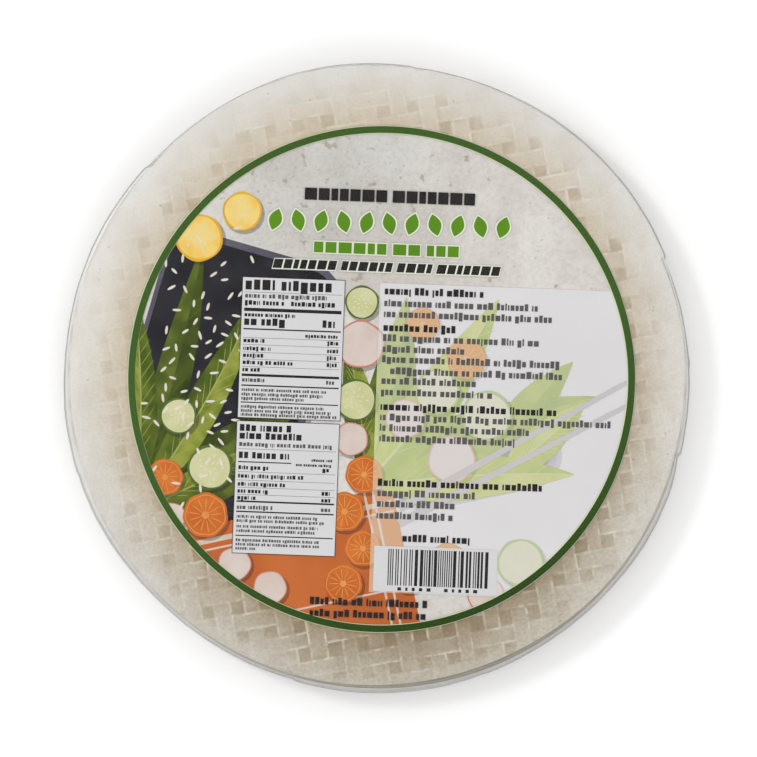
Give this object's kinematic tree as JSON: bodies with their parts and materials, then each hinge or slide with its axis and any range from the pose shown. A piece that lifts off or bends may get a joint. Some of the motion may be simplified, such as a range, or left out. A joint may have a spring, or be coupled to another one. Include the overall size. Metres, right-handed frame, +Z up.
{
  "type": "rice paper wrapper stack",
  "caption": "Round pack of dried rice paper wrappers: thin woven-textured sheets stacked flat, a round printed paper label on top, all sealed in tight clear film.",
  "frame": {"origin": "middle of the pack's flat underside, on the surface it lies on", "axes": "+Z up through the stack, +Y towards the top of the printed label, +X to the label's right"},
  "size_m": [0.2246, 0.226, 0.0154],
  "materials": {
    "clear_film": "clear glossy plastic film",
    "label_paper": "smooth coated paper, printed",
    "rice_paper": "dry brittle translucent sheet with a woven imprint"
  },
  "bodies": {
    "root": {"film_pack": "clear_film", "label": "label_paper"}
  },
  "joints": []
}
